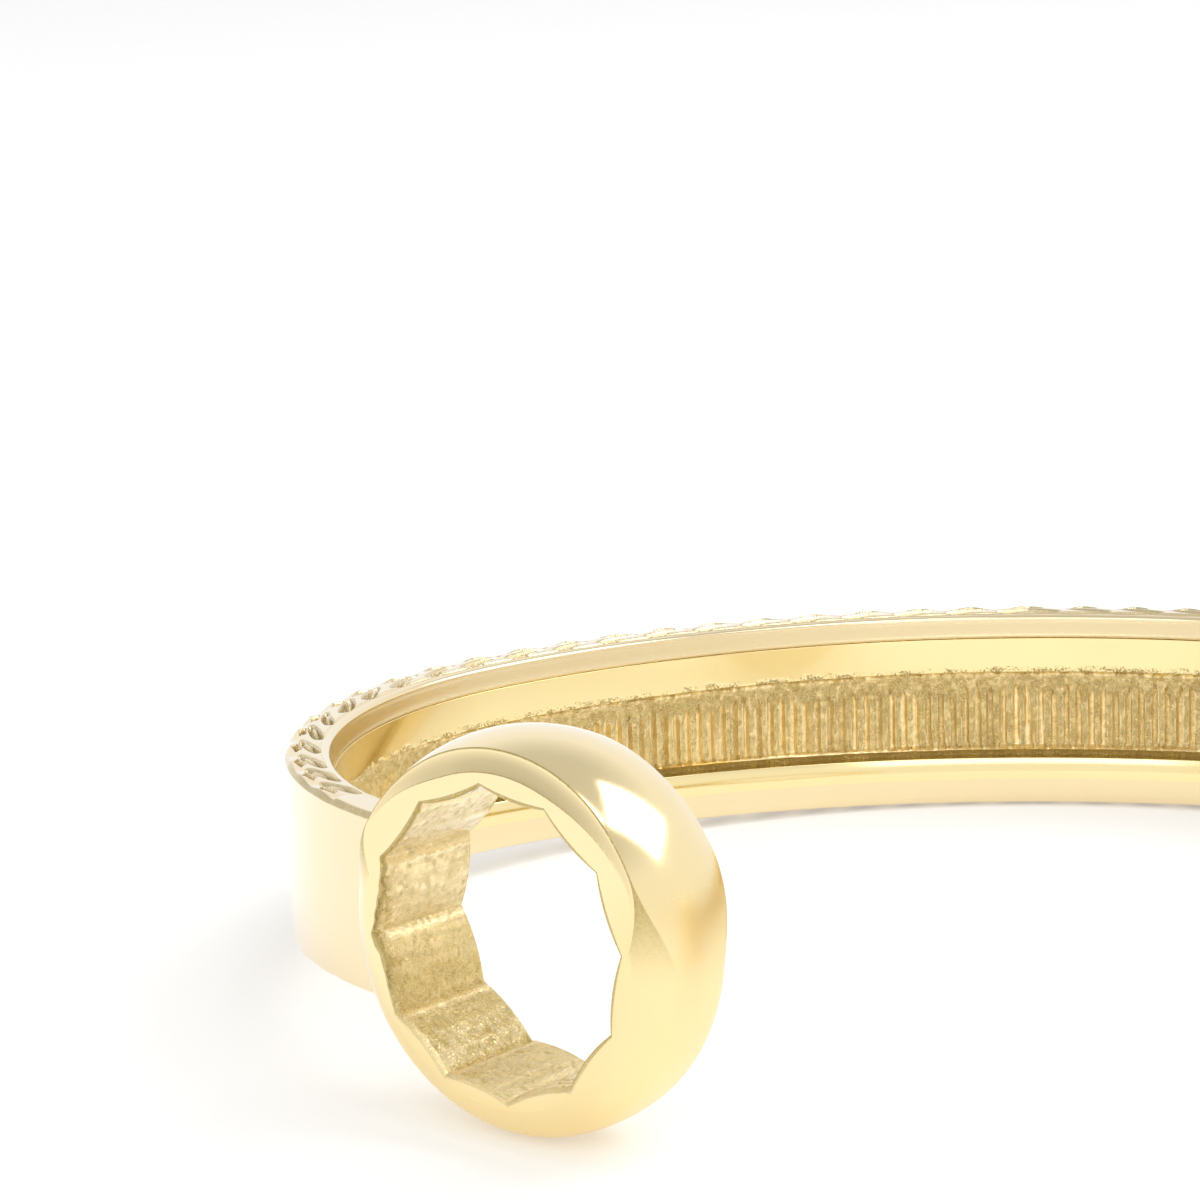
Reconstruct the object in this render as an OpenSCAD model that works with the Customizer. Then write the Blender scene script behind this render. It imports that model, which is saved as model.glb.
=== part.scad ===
// Open cuff bangle made like a box-end spanner bent round the wrist.
// The band is an oval of tangent arcs with a gap at the front. Each end carries
// a domed ring head that is lined with a twelve-point socket.
// The band is built level, with its middle height at z = 0 and the gap towards -Y,
// and is then tipped until it rests on both heads and on the back of its lower rim.

/* [Band plan] */
// Width of the oval, outside to outside
band_w = 68; // [56:0.5:82]
// Depth of the oval, outside to outside, as if it had no gap
band_d = 54; // [45:0.5:65]
// Outer radius of the tight turns at the two sides, as a share of half the depth
turn_share = 0.815; // [0.65:0.005:0.95]
// Angle of each head from the front of the oval, as the direction in which it faces
head_angle = 32.5; // [28:0.5:45]

/* [Band section] */
// Height of the band at the middle of its back
back_h = 10.2; // [8.5:0.1:13]
// Height of the band where it meets the heads
end_h = 7.7; // [6.2:0.1:8.4]
// Thickness of the band from its outer face to its inner face
wall = 2.2; // [1.8:0.1:2.8]
// Thickness of the plain outer plate
plate = 0.8; // [0.6:0.05:1]
// Height of each rim strip
rim_h = 1.3; // [1:0.05:1.5]
// Height of the polished rail above the ribs
upper_rail_h = 1.8; // [1.2:0.1:2.2]
// Height of the polished rail below the ribs
lower_rail_h = 1.1; // [0.8:0.1:1.6]

/* [Ribs] */
// Distance from one rib to the next
rib_pitch = 0.66; // [0.5:0.02:1.2]
// Width of a rib
rib_w = 0.24; // [0.15:0.01:0.4]
// Height that a rib stands above the floor of the recess
rib_h = 0.3; // [0.15:0.05:0.45]
// Thickness of the floor that carries the ribs
floor_t = 0.35; // [0.2:0.05:0.5]

/* [Heads] */
// Diameter of the socket across its points
points_dia = 12.8; // [10.5:0.1:15.5]
// Wall of a head outside the points, at the middle of its dome
head_wall = 1.95; // [1.65:0.05:2.6]
// Wall of the socket sleeve outside the points
sleeve_wall = 0.6; // [0.4:0.05:0.7]
// Depth of a head along its socket
head_depth = 5.5; // [4:0.1:7]
// Radius of the arc that rounds the outside of a head
dome_r = 6.9; // [4.5:0.1:12]
// Number of points in a socket
point_count = 12; // [8:1:16]
// How far the wall between two points bulges inwards, as a share of the socket's radius
points_bulge = 0.03; // [0:0.005:0.06]
// Turn of the socket about its own axis
points_turn = 4.5; // [0:0.5:15]
// Height of a head above the middle of the band
head_lift = 0.3; // [0:0.1:1]
// Length of the plain neck between the band's pieces and a head
neck_len = 2.4; // [1.6:0.1:4]

/* [Hidden] */
$fn = 96;

// Tight arcs at the two sides and long arcs at front and back make the oval.
half_w = band_w / 2;
half_d = band_d / 2;
turn_r = turn_share * half_d;
turn_x = half_w - turn_r;
long_y = (turn_x * turn_x - pow(half_d - turn_r, 2)) / (2 * (half_d - turn_r));
long_r = half_d + long_y;
// Direction in which the wall faces where a tight turn meets a long arc
joint_angle = atan2(long_y, turn_x);
// Each arc in turn, from the front: centre x, centre y, outer radius, first and last facing
ARCS = [
    [0, long_y, long_r, -90, -joint_angle],
    [turn_x, 0, turn_r, -joint_angle, joint_angle],
    [0, -long_y, long_r, joint_angle, 180 - joint_angle],
    [-turn_x, 0, turn_r, 180 - joint_angle, 180 + joint_angle],
    [0, long_y, long_r, 180 + joint_angle, 270]];

// The left head sits on the middle line of the wall, facing straight out of it.
head_facing = 270 - head_angle;
head_arc = head_facing > 180 + joint_angle ? ARCS[4] : ARCS[3];
points_r = points_dia / 2;
head_r = points_r + head_wall;
head_x = head_arc[0] + (head_arc[2] - wall / 2) * cos(head_facing);
head_y = head_arc[1] + (head_arc[2] - wall / 2) * sin(head_facing);

// The band's pieces stop this far along the wall's middle line from a head's centre.
end_reach = head_r + neck_len;
long_reach = max(0, head_facing - 180 - joint_angle) * PI / 180 * (long_r - wall / 2);
turn_reach = end_reach - long_reach;
end_angle = turn_reach > 0
    ? min(head_facing, 180 + joint_angle) - turn_reach / (turn_r - wall / 2) * 180 / PI
    : head_facing - end_reach / (long_r - wall / 2) * 180 / PI;
start_angle = 180 - end_angle;

// The rims slope towards each other from the back of the band to the heads.
taper = atan2((back_h - end_h) / 2, half_d - head_y);
recess_top = rim_h + upper_rail_h;
recess_bottom = rim_h + lower_rail_h;

// The socket sleeve fills a round seat in the head.
seat_r = points_r + sleeve_wall;

// Tip about X that puts the heads and the back of the lower rim on one level
heel_z = -back_h / 2;
rest_dy = half_d - head_y;
rest_dz = head_lift - heel_z;
rest_tip = asin(head_r / norm([rest_dy, rest_dz])) - atan2(rest_dz, rest_dy);
rest_lift = half_d * sin(rest_tip) - heel_z * cos(rest_tip);
// Front and back ends of the tipped cuff, so that it can be centred over the origin
face_r = head_r - dome_r + sqrt(dome_r * dome_r - pow(head_depth / 2, 2));
front_along = cos(rest_tip) * cos(head_angle);
front_reach = face_r * sqrt(1 - front_along * front_along) + head_depth / 2 * front_along;
front_y = head_y * cos(rest_tip) + head_lift * sin(rest_tip) - front_reach;
back_y = half_d * cos(rest_tip) + back_h / 2 * sin(rest_tip);

// Larger than the whole cuff, for cutting blocks
reach = band_w + band_d;
// Length of the flats that make up the curved walls
facet = 1.2;
// Flats that make up the wall between two points of a socket
wall_parts = 6;

gold = "#e8cf86";
pale_gold = "#f3e6bd";
deep_gold = "#c9a84c";

// Tips the level cuff onto its resting edges and centres it over the origin.
module seated() {
    translate([0, -(front_y + back_y) / 2, rest_lift])
        rotate([-rest_tip, 0, 0])
            children();
}

// Arc of the oval on which the wall faces a given way.
function arc_facing(facing) =
    facing < -joint_angle ? ARCS[0] :
    facing < joint_angle ? ARCS[1] :
    facing < 180 - joint_angle ? ARCS[2] :
    facing < 180 + joint_angle ? ARCS[3] : ARCS[4];

// Point in plan where the wall faces a given way, some distance in from its outer face.
function wall_point(facing, inset) =
    let (arc = arc_facing(facing))
    [arc[0] + (arc[2] - inset) * cos(facing), arc[1] + (arc[2] - inset) * sin(facing)];

// Equal parts of one arc between two facing directions, as a list of starting directions.
function parts_of_arc(arc, from, to, size) =
    let (
        first = max(from, arc[3]),
        last = min(to, arc[4]),
        parts = ceil((last - first) * PI / 180 * arc[2] / size))
    [for (i = [0:1:parts - 1]) first + i * (last - first) / parts];

// Facing directions of the corners along the wall, from one end to the other.
function corners(from, to) =
    concat([for (arc = ARCS) each parts_of_arc(arc, from, to, facet)], [to]);

function reversed(list) = [for (i = [len(list) - 1:-1:0]) list[i]];

// Upright strip of the wall between two distances in from its outer face.
module upright(inner, outer, from, to) {
    facings = corners(from, to);
    translate([0, 0, -back_h])
        linear_extrude(2 * back_h)
            polygon(concat(
                [for (facing = facings) wall_point(facing, outer)],
                [for (facing = reversed(facings)) wall_point(facing, inner)]));
}

// Block that follows the upper rim, from one depth below it to another.
module top_layer(from, to) {
    translate([0, half_d, back_h / 2 - to])
        rotate([taper, 0, 0])
            translate([-reach, -reach - half_d, 0])
                cube([2 * reach, 2 * reach, (to - from) * cos(taper)]);
}

module bottom_layer(from, to) {
    mirror([0, 0, 1])
        top_layer(from, to);
}

// Piece of the wall between two distances in from its outer face, along the whole band.
module strip(inner, outer) {
    upright(inner, outer, start_angle, end_angle);
}

module outer_band() {
    color(pale_gold)
        seated()
            difference() {
                strip(plate, 0);
                top_layer(-reach, rim_h);
                bottom_layer(-reach, rim_h);
            }
}

module top_rim() {
    color(gold)
        seated()
            intersection() {
                strip(wall, 0);
                top_layer(0, rim_h);
            }
}

module bottom_rim() {
    color(gold)
        seated()
            intersection() {
                strip(wall, 0);
                bottom_layer(0, rim_h);
            }
}

module upper_inner_rail() {
    color(gold)
        seated()
            intersection() {
                strip(wall, plate);
                top_layer(rim_h, recess_top);
            }
}

module lower_inner_rail() {
    color(gold)
        seated()
            intersection() {
                strip(wall, plate);
                bottom_layer(rim_h, recess_bottom);
            }
}

// Facing directions of the ribs on one arc, in the part that the recess covers.
function ribs_on_arc(arc) =
    let (starts = parts_of_arc(arc, start_angle, end_angle, rib_pitch))
    [for (i = [0:1:len(starts) - 1])
        starts[i] + (min(end_angle, arc[4]) - starts[i]) / (len(starts) - i) / 2];

// Four corners in plan of the rib at one facing direction.
function rib_corners(facing) =
    let (
        foot = plate + floor_t,
        half_spread = rib_w / 2 / arc_facing(facing)[2] * 180 / PI)
    [wall_point(facing - half_spread, foot), wall_point(facing - half_spread, foot + rib_h),
        wall_point(facing + half_spread, foot + rib_h), wall_point(facing + half_spread, foot)];

module rib_liner() {
    ribs = [for (arc = ARCS) each ribs_on_arc(arc)];
    color(deep_gold)
        seated()
            difference() {
                translate([0, 0, -back_h])
                    linear_extrude(2 * back_h)
                        polygon(concat(
                            [for (facing = reversed(corners(start_angle, end_angle)))
                                wall_point(facing, plate)],
                            [wall_point(start_angle, plate + floor_t)],
                            [for (facing = ribs) each rib_corners(facing)],
                            [wall_point(end_angle, plate + floor_t)]));
                top_layer(-reach, recess_top);
                bottom_layer(-reach, recess_bottom);
            }
}

// Puts a round piece, made about Z, where the left head is.
module at_left_head() {
    translate([head_x, head_y, head_lift])
        rotate([0, 0, head_facing])
            rotate([0, 90, 0])
                children();
}

// Disc or ring with the head's domed outside, open inside the given radius.
module domed_ring(bore_r) {
    rotate_extrude()
        intersection() {
            translate([head_r - dome_r, 0])
                circle(dome_r);
            translate([bore_r, -head_depth / 2])
                square([head_r, head_depth]);
        }
}

module head_ring() {
    at_left_head()
        domed_ring(seat_r);
}

function socket_point(i) = points_r * [cos(i * 360 / point_count), sin(i * 360 / point_count)];

// Outline of the socket: from point to point, each wall between them bulging inwards.
function socket_outline() = [for (i = [0:point_count - 1]) for (k = [0:wall_parts - 1])
    let (part = k / wall_parts)
    (socket_point(i) * (1 - part) + socket_point(i + 1) * part)
        * (1 - points_bulge * 4 * part * (1 - part))];

module socket() {
    at_left_head()
        rotate([0, 0, points_turn])
            translate([0, 0, -head_depth / 2])
                linear_extrude(head_depth)
                    difference() {
                        circle(seat_r);
                        polygon(socket_outline());
                    }
}

// Solid end of the band, shaped to the dome of the head that it carries.
module neck() {
    difference() {
        upright(wall, 0, end_angle, head_facing);
        top_layer(-reach, 0);
        bottom_layer(-reach, 0);
        at_left_head()
            domed_ring(0);
    }
}

module left_neck() {
    color(pale_gold)
        seated()
            neck();
}

module left_head_ring() {
    color(gold)
        seated()
            head_ring();
}

module left_socket() {
    color(deep_gold)
        seated()
            socket();
}

module right_neck() {
    color(pale_gold)
        seated()
            mirror([1, 0, 0])
                neck();
}

module right_head_ring() {
    color(gold)
        seated()
            mirror([1, 0, 0])
                head_ring();
}

module right_socket() {
    color(deep_gold)
        seated()
            mirror([1, 0, 0])
                socket();
}

outer_band();
top_rim();
bottom_rim();
upper_inner_rail();
lower_inner_rail();
rib_liner();
left_neck();
left_head_ring();
left_socket();
right_neck();
right_head_ring();
right_socket();
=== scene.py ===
import logging
import math
from dataclasses import dataclass
from enum import Enum
from functools import cached_property
from typing import Callable, ClassVar, Sequence

import bpy
import numpy as np
from mathutils import Matrix, Vector


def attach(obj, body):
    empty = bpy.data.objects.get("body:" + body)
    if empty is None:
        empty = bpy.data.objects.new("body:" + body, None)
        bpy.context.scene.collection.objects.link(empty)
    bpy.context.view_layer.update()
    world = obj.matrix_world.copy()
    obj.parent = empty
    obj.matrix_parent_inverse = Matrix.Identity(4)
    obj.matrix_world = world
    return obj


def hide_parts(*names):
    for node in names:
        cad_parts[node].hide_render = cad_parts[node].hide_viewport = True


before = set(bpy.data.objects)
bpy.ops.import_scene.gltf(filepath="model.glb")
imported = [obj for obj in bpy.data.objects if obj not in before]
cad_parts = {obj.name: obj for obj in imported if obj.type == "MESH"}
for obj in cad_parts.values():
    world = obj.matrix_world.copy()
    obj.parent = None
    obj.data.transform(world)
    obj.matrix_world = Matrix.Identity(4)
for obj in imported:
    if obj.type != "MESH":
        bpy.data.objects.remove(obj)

LOG = logging.getLogger("cuff")
MM = 0.001
ROOT = "root"
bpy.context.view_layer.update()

Array = np.ndarray
Section = list[tuple[float, float]]
Colour = tuple[float, float, float, float]
Turns = tuple[float, float]
Region = tuple[float, float, float]
Shares = tuple[float, ...]


class Side(Enum):
    """Which end of the band a piece belongs to, as the sign of its place along X."""

    LEFT = 1
    RIGHT = -1

    @property
    def word(self) -> str:
        """Name of the side in a piece's name."""
        return self.name.lower()


class Edge(Enum):
    """Which rim a piece follows, as the sign of its height."""

    UPPER = 1
    LOWER = -1


# ---------------------------------------------------------------- form


@dataclass(frozen=True)
class Arc:
    """One arc of the oval, in millimetres and degrees of facing."""

    x: float
    y: float
    radius: float
    first: float
    last: float


@dataclass(frozen=True)
class Cuff:
    """Driving sizes of the cuff in millimetres and degrees, as its solids have them."""

    width: float = 68.0
    depth: float = 54.0
    turn_share: float = 0.815
    head_angle: float = 32.5
    back_height: float = 10.2
    end_height: float = 7.7
    wall: float = 2.2
    plate: float = 0.8
    rim_height: float = 1.3
    upper_rail: float = 1.8
    lower_rail: float = 1.1
    floor: float = 0.35
    points_radius: float = 6.4
    head_radius: float = 8.35
    head_depth: float = 5.5
    dome_radius: float = 6.9
    head_lift: float = 0.3
    neck_length: float = 2.4
    points_turn: float = 4.5

    @cached_property
    def turn_radius(self) -> float:
        """Outer radius of the tight turns."""
        return self.turn_share * self.depth / 2

    @cached_property
    def turn_x(self) -> float:
        """Distance of a tight turn's centre from the middle."""
        return self.width / 2 - self.turn_radius

    @cached_property
    def long_y(self) -> float:
        """Distance of a long arc's centre from the middle."""
        spare = self.depth / 2 - self.turn_radius
        return (self.turn_x ** 2 - spare ** 2) / (2 * spare)

    @cached_property
    def arcs(self) -> list[Arc]:
        """Arcs of the oval in order of facing, from the front round to the front."""
        joint = math.degrees(math.atan2(self.long_y, self.turn_x))
        long_radius = self.depth / 2 + self.long_y
        return [
            Arc(0, self.long_y, long_radius, -90, -joint),
            Arc(self.turn_x, 0, self.turn_radius, -joint, joint),
            Arc(0, -self.long_y, long_radius, joint, 180 - joint),
            Arc(-self.turn_x, 0, self.turn_radius, 180 - joint, 180 + joint),
            Arc(0, self.long_y, long_radius, 180 + joint, 270),
        ]

    @cached_property
    def head_facing(self) -> float:
        """Direction in which the left head faces."""
        return 270 - self.head_angle

    @cached_property
    def head_centre(self) -> Array:
        """Middle of the left head in the level frame."""
        x, y = self.plan(np.array([self.head_facing]), np.array([self.wall / 2]))
        return np.array([x[0], y[0], self.head_lift])

    @cached_property
    def taper(self) -> float:
        """Slope of each rim, in radians."""
        run = self.depth / 2 - self.head_centre[1]
        return math.atan2((self.back_height - self.end_height) / 2, run)

    @cached_property
    def end_facing(self) -> float:
        """Facing at which the band's pieces stop on the left."""
        reach = self.along(np.array([self.head_facing]))[0] - self.head_radius - self.neck_length
        return float(self.facing_at(np.array([reach]))[0])

    def along(self, facing: Array) -> Array:
        """Finds the distance along the wall's middle line from the middle of the back.

        Args:
            facing: Directions in which the wall faces, in degrees.

        Returns:
            Distances in millimetres, positive towards the left head.
        """
        total = np.zeros_like(facing)
        for arc in self.arcs:
            run = (arc.radius - self.wall / 2) * math.pi / 180
            total += run * (np.clip(facing, arc.first, arc.last) - np.clip(90, arc.first, arc.last))
        return total

    def facing_at(self, along: Array) -> Array:
        """Finds the facing at distances along the wall from the middle of the back.

        Args:
            along: Distances in millimetres, positive towards the left head.

        Returns:
            Directions in degrees.
        """
        marks = np.linspace(-90, 270, 3601)
        return np.interp(along, self.along(marks), marks)

    def plan(self, facing: Array, inset: Array) -> tuple[Array, Array]:
        """Places points of the wall in plan.

        Args:
            facing: Directions in which the wall faces, in degrees.
            inset: Distances in from the outer face.

        Returns:
            The x and y of each point in the level frame.
        """
        x, y = np.zeros_like(facing), np.zeros_like(facing)
        turn = np.radians(facing)
        for arc in self.arcs:
            here = (facing >= arc.first) & (facing <= arc.last)
            x[here] = arc.x + (arc.radius - inset[here]) * np.cos(turn[here])
            y[here] = arc.y + (arc.radius - inset[here]) * np.sin(turn[here])
        return x, y

    def half_height(self, y: Array) -> Array:
        """Height of the upper rim above the level plane, at places in plan."""
        return self.back_height / 2 - (self.depth / 2 - y) * math.tan(self.taper)

    @cached_property
    def rest(self) -> tuple[float, float, float]:
        """Tip about X in radians, and the moves along Y and Z, that seat the level cuff."""
        half = self.depth / 2
        reach_y = half - self.head_centre[1]
        reach_z = self.head_lift + self.back_height / 2
        span = math.hypot(reach_y, reach_z)
        tip = math.asin(self.head_radius / span) - math.atan2(reach_z, reach_y)
        lift = half * math.sin(tip) + self.back_height / 2 * math.cos(tip)
        half_depth = self.head_depth / 2
        face = self.head_radius - self.dome_radius + math.sqrt(self.dome_radius ** 2 - half_depth ** 2)
        forward = math.cos(tip) * math.cos(math.radians(self.head_angle))
        front = self.head_centre[1] * math.cos(tip) + self.head_lift * math.sin(tip)
        front -= face * math.sqrt(1 - forward ** 2) + half_depth * forward
        back = half * math.cos(tip) + self.back_height / 2 * math.sin(tip)
        return tip, -(front + back) / 2, lift

    def seat(self, points: Array) -> Array:
        """Moves points from the level frame in millimetres to the cuff's frame in metres."""
        tip, shift, lift = self.rest
        x, y, z = points.T
        seated_y = y * math.cos(tip) + z * math.sin(tip) + shift
        seated_z = z * math.cos(tip) - y * math.sin(tip) + lift
        return np.stack([x, seated_y, seated_z], axis=1) * MM


CUFF = Cuff()


class Grain:
    """Smooth, repeatable unevenness for cast and hand-cut surfaces."""

    SIZE = 256

    def __init__(self, seed: int) -> None:
        """Fills the lattice from a fixed seed."""
        self.lattice = np.random.default_rng(seed).random((self.SIZE, self.SIZE)) * 2 - 1

    def at(self, x: Array, y: Array) -> Array:
        """Reads the unevenness at places on a surface.

        Args:
            x: First coordinate, with features about one unit apart.
            y: Second coordinate.

        Returns:
            Values from -1 to 1.
        """
        low_x, low_y = np.floor(x), np.floor(y)
        part_x, part_y = x - low_x, y - low_y
        part_x = part_x * part_x * (3 - 2 * part_x)
        part_y = part_y * part_y * (3 - 2 * part_y)
        i, j = low_x.astype(int) % self.SIZE, low_y.astype(int) % self.SIZE
        ii, jj = (i + 1) % self.SIZE, (j + 1) % self.SIZE
        near = self.lattice[i, j] * (1 - part_x) + self.lattice[ii, j] * part_x
        far = self.lattice[i, jj] * (1 - part_x) + self.lattice[ii, jj] * part_x
        return near * (1 - part_y) + far * part_y

    def layered(self, x: Array, y: Array, layers: int = 3) -> Array:
        """Adds finer and weaker layers of the same unevenness."""
        return sum(self.at(x * 2 ** k + 17 * k, y * 2 ** k + 31 * k) / 2 ** k for k in range(layers))

    def pick(self, index: Array, row: int) -> Array:
        """One fixed value from -1 to 1 for each whole number."""
        return self.lattice[index.astype(int) % self.SIZE, row]


def ramp(value: Array, low: float, high: float) -> Array:
    """Rises smoothly from 0 at low to 1 at high."""
    part = np.clip((value - low) / (high - low), 0, 1)
    return part * part * (3 - 2 * part)


def lens(x: Array, y: Array, half_x: float, half_y: float, sharp: float = 3.0) -> Array:
    """Flat-floored oval hollow: 1 inside, 0 outside, with steep sides."""
    return ramp((1 - np.hypot(x / half_x, y / half_y)) * sharp, 0, 1)


# ---------------------------------------------------------------- bench


class Bench:
    """Steps of modelling that all the pieces share."""

    @staticmethod
    def edit(obj: bpy.types.Object, mode: tuple[bool, bool, bool] = (True, False, False)) -> None:
        """Opens one object alone in edit mode."""
        bpy.context.view_layer.objects.active = obj
        bpy.context.tool_settings.mesh_select_mode = mode
        bpy.ops.object.mode_set(mode="EDIT")

    @staticmethod
    def close() -> None:
        """Leaves edit mode."""
        bpy.ops.object.mode_set(mode="OBJECT")

    @staticmethod
    def name(obj: bpy.types.Object, name: str) -> bpy.types.Object:
        """Names an object and its mesh."""
        obj.name = name
        obj.data.name = name
        return obj

    @staticmethod
    def points(obj: bpy.types.Object) -> Array:
        """Reads the places of a mesh's vertices."""
        found = np.empty(len(obj.data.vertices) * 3)
        obj.data.vertices.foreach_get("co", found)
        return found.reshape(-1, 3)

    @staticmethod
    def place(obj: bpy.types.Object, points: Array) -> None:
        """Puts a mesh's vertices at new places."""
        obj.data.vertices.foreach_set("co", np.ascontiguousarray(points, dtype=np.float32).ravel())
        obj.data.update()

    @staticmethod
    def select_edges(obj: bpy.types.Object, test: Callable[[Array, Array], Array]) -> None:
        """Selects the edges whose two ends pass a test, and nothing else.

        Args:
            obj: The object, in object mode.
            test: Takes the places of the first and second ends, and tells which edges to take.
        """
        mesh = obj.data
        ends = np.empty(len(mesh.edges) * 2, dtype=np.int32)
        mesh.edges.foreach_get("vertices", ends)
        ends = ends.reshape(-1, 2)
        points = Bench.points(obj)
        chosen = test(points[ends[:, 0]], points[ends[:, 1]])
        mesh.vertices.foreach_set("select", np.isin(np.arange(len(points)), ends[chosen]))
        mesh.edges.foreach_set("select", chosen)
        mesh.polygons.foreach_set("select", np.zeros(len(mesh.polygons), dtype=bool))

    @staticmethod
    def note(obj: bpy.types.Object, name: str, values: Array) -> None:
        """Stores one value at each vertex for the finish to read."""
        attribute = obj.data.attributes.new(name=name, type="FLOAT", domain="POINT")
        attribute.data.foreach_set("value", np.ascontiguousarray(values, dtype=np.float32))

    @staticmethod
    def finish(obj: bpy.types.Object, sharp: float = 50.0) -> None:
        """Turns every face outwards and smooths the shading, apart from sharp edges."""
        bpy.ops.object.select_all(action="DESELECT")
        obj.select_set(True)
        Bench.edit(obj)
        bpy.ops.mesh.select_all(action="SELECT")
        bpy.ops.mesh.normals_make_consistent(inside=False)
        Bench.close()
        bpy.ops.object.shade_smooth_by_angle(angle=math.radians(sharp))
        obj.select_set(False)


@dataclass(frozen=True)
class Stretch:
    """Part of one arc that a section is spun round, in a number of equal steps."""

    arc: Arc
    first: float
    last: float
    steps: int

    @property
    def step(self) -> float:
        """Turn of one step, in degrees."""
        return (self.last - self.first) / self.steps


@dataclass(frozen=True)
class Sweep:
    """A closed section spun along the wall from one facing to another."""

    section: Section
    first: float
    last: float
    chord: float = 0.75
    cuts: int = 7

    TOUCH: ClassVar[float] = 1e-3

    @cached_property
    def stretches(self) -> list[Stretch]:
        """The arcs that the sweep passes, each with its steps."""
        found = []
        for arc in CUFF.arcs:
            first, last = max(self.first, arc.first), min(self.last, arc.last)
            if last - first > 1e-6:
                steps = math.ceil(math.radians(last - first) * arc.radius / self.chord)
                found.append(Stretch(arc, first, last, steps))
        return found

    def build(self, name: str) -> bpy.types.Object:
        """Spins the section, closes its two ends and cuts the steps finer.

        Args:
            name: Name of the object.

        Returns:
            The object, in millimetres: plan in x and y, and the section's depth as -z.
        """
        bpy.ops.object.select_all(action="DESELECT")
        bpy.ops.mesh.primitive_circle_add(vertices=len(self.section), radius=1.0)
        obj = Bench.name(bpy.context.object, name)
        inset, depth = np.array(self.section).T
        x, y = CUFF.plan(np.full_like(inset, self.first), inset)
        Bench.place(obj, np.stack([x, y, -depth], axis=1))
        Bench.edit(obj)
        bpy.ops.mesh.select_all(action="SELECT")
        for part in self.stretches:
            turn = math.radians(part.last - part.first)
            bpy.ops.mesh.spin(
                steps=part.steps, angle=turn, center=(part.arc.x, part.arc.y, 0), axis=(0, 0, -1))
        bpy.ops.mesh.select_all(action="SELECT")
        bpy.ops.mesh.fill_holes(sides=0)
        Bench.close()
        Bench.select_edges(obj, self.runs_along)
        Bench.edit(obj, (False, True, False))
        bpy.ops.mesh.subdivide(number_cuts=self.cuts)
        Bench.close()
        return obj

    def runs_along(self, one: Array, other: Array) -> Array:
        """Tells which edges run along the wall, from the places of their ends."""
        return np.abs(self.read(one)[0] - self.read(other)[0]) > self.TOUCH

    def read(self, points: Array) -> tuple[Array, Array]:
        """Finds where points of the spun mesh are on the wall.

        Args:
            points: Places in plan, on the flat facets of the spin.

        Returns:
            The facing in degrees and the inset that each has on the true arc.
        """
        facing = np.full(len(points), np.nan)
        inset = np.zeros(len(points))
        for part in self.stretches:
            across, up = points[:, 0] - part.arc.x, points[:, 1] - part.arc.y
            turn = np.degrees(np.arctan2(up, across))
            turn = np.where(turn < part.first - 90, turn + 360, turn)
            radius = np.hypot(across, up)
            here = np.isnan(facing) & (turn > part.first - self.TOUCH) & (turn < part.last + self.TOUCH)
            here &= np.abs(radius - part.arc.radius) < 3 * CUFF.wall
            off = np.mod(np.clip(turn - part.first, 0, None), part.step) - part.step / 2
            radius = radius * np.cos(np.radians(off)) / math.cos(math.radians(part.step / 2))
            facing[here] = turn[here]
            inset[here] = (part.arc.radius - radius)[here]
        return facing, inset


def rounded(corners: Sequence[tuple[float, float, float]], arc_points: int = 4) -> Section:
    """Rounds the corners of a closed outline.

    Args:
        corners: The x, y and rounding radius of each corner, in order.
        arc_points: Points on each rounded corner.

    Returns:
        The outline with its roundings, and a guard point on each flat beside them.
    """
    outline: Section = []
    for i, (x, y, radius) in enumerate(corners):
        here = Vector((x, y))
        back = (Vector(corners[i - 1][:2]) - here).normalized()
        ahead = (Vector(corners[(i + 1) % len(corners)][:2]) - here).normalized()
        if radius <= 0:
            outline.append((x, y))
            continue
        half = back.angle(ahead) / 2
        run = radius / math.tan(half)
        guard = run + 0.5 * radius
        start, end = here + back * run, here + ahead * run
        centre = here + (back + ahead).normalized() * radius / math.sin(half)
        outline.append(tuple(here + back * guard))
        for k in range(arc_points):
            mix = k / (arc_points - 1)
            spoke = (start - centre).lerp(end - centre, mix).normalized() * radius
            outline.append(tuple(centre + spoke))
        outline.append(tuple(here + ahead * guard))
    return outline


def filled(outline: Section, longest: float) -> Section:
    """Adds points to the straight parts of an outline, so that none is longer than a length."""
    result: Section = []
    for i, (x, y) in enumerate(outline):
        next_x, next_y = outline[(i + 1) % len(outline)]
        parts = max(1, math.ceil(math.hypot(next_x - x, next_y - y) / longest))
        result += [(x + (next_x - x) * k / parts, y + (next_y - y) * k / parts) for k in range(parts)]
    return result


# ---------------------------------------------------------------- finishes


class Wire:
    """A shader socket that takes part in sums."""

    def __init__(self, board: "Board", socket: bpy.types.NodeSocket) -> None:
        """Keeps the socket and the board that it is on."""
        self.board = board
        self.socket = socket

    def __add__(self, other: "Wire | float") -> "Wire":
        """Sum."""
        return self.board.math("ADD", self, other)

    def __radd__(self, other: float) -> "Wire":
        """Sum, with the number first."""
        return self.board.math("ADD", other, self)

    def __sub__(self, other: "Wire | float") -> "Wire":
        """Difference."""
        return self.board.math("SUBTRACT", self, other)

    def __rsub__(self, other: float) -> "Wire":
        """Difference, with the number first."""
        return self.board.math("SUBTRACT", other, self)

    def __mul__(self, other: "Wire | float") -> "Wire":
        """Product."""
        return self.board.math("MULTIPLY", self, other)

    def __rmul__(self, other: float) -> "Wire":
        """Product, with the number first."""
        return self.board.math("MULTIPLY", other, self)

    def clamped(self) -> "Wire":
        """The value kept between 0 and 1."""
        return self.board.math("ADD", self, 0.0, clamp=True)


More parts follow.
